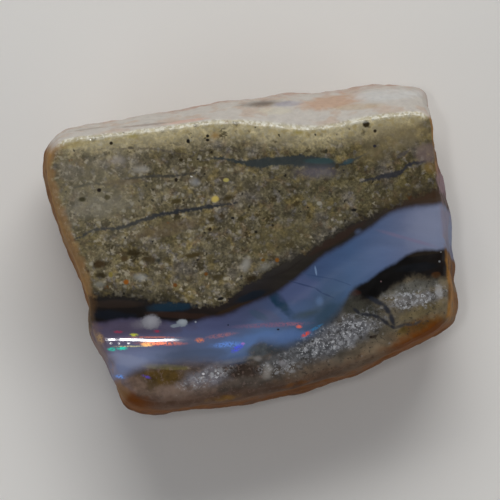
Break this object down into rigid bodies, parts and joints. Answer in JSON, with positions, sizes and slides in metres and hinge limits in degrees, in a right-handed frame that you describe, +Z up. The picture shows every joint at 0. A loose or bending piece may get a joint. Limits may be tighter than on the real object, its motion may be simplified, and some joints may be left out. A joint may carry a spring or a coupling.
{
  "type": "rough opal",
  "caption": "Rubbed piece of rough opal: a pale blue seam with flecks of fire between beds of sandstone, with a cut face, lying on its flat back.",
  "frame": {"origin": "middle of the stone's outline on the surface it lies on, at its flat back", "axes": "+Z up through the cut face, +X along the length of the cut face, +Y towards the side with the thicker bed of sandstone"},
  "size_m": [0.0313, 0.0248, 0.0128],
  "materials": {
    "opal_stone": "rubbed satin sandstone with a glossier pale blue opal seam"
  },
  "bodies": {
    "root": {"opal_stone": "opal_stone"}
  },
  "joints": []
}
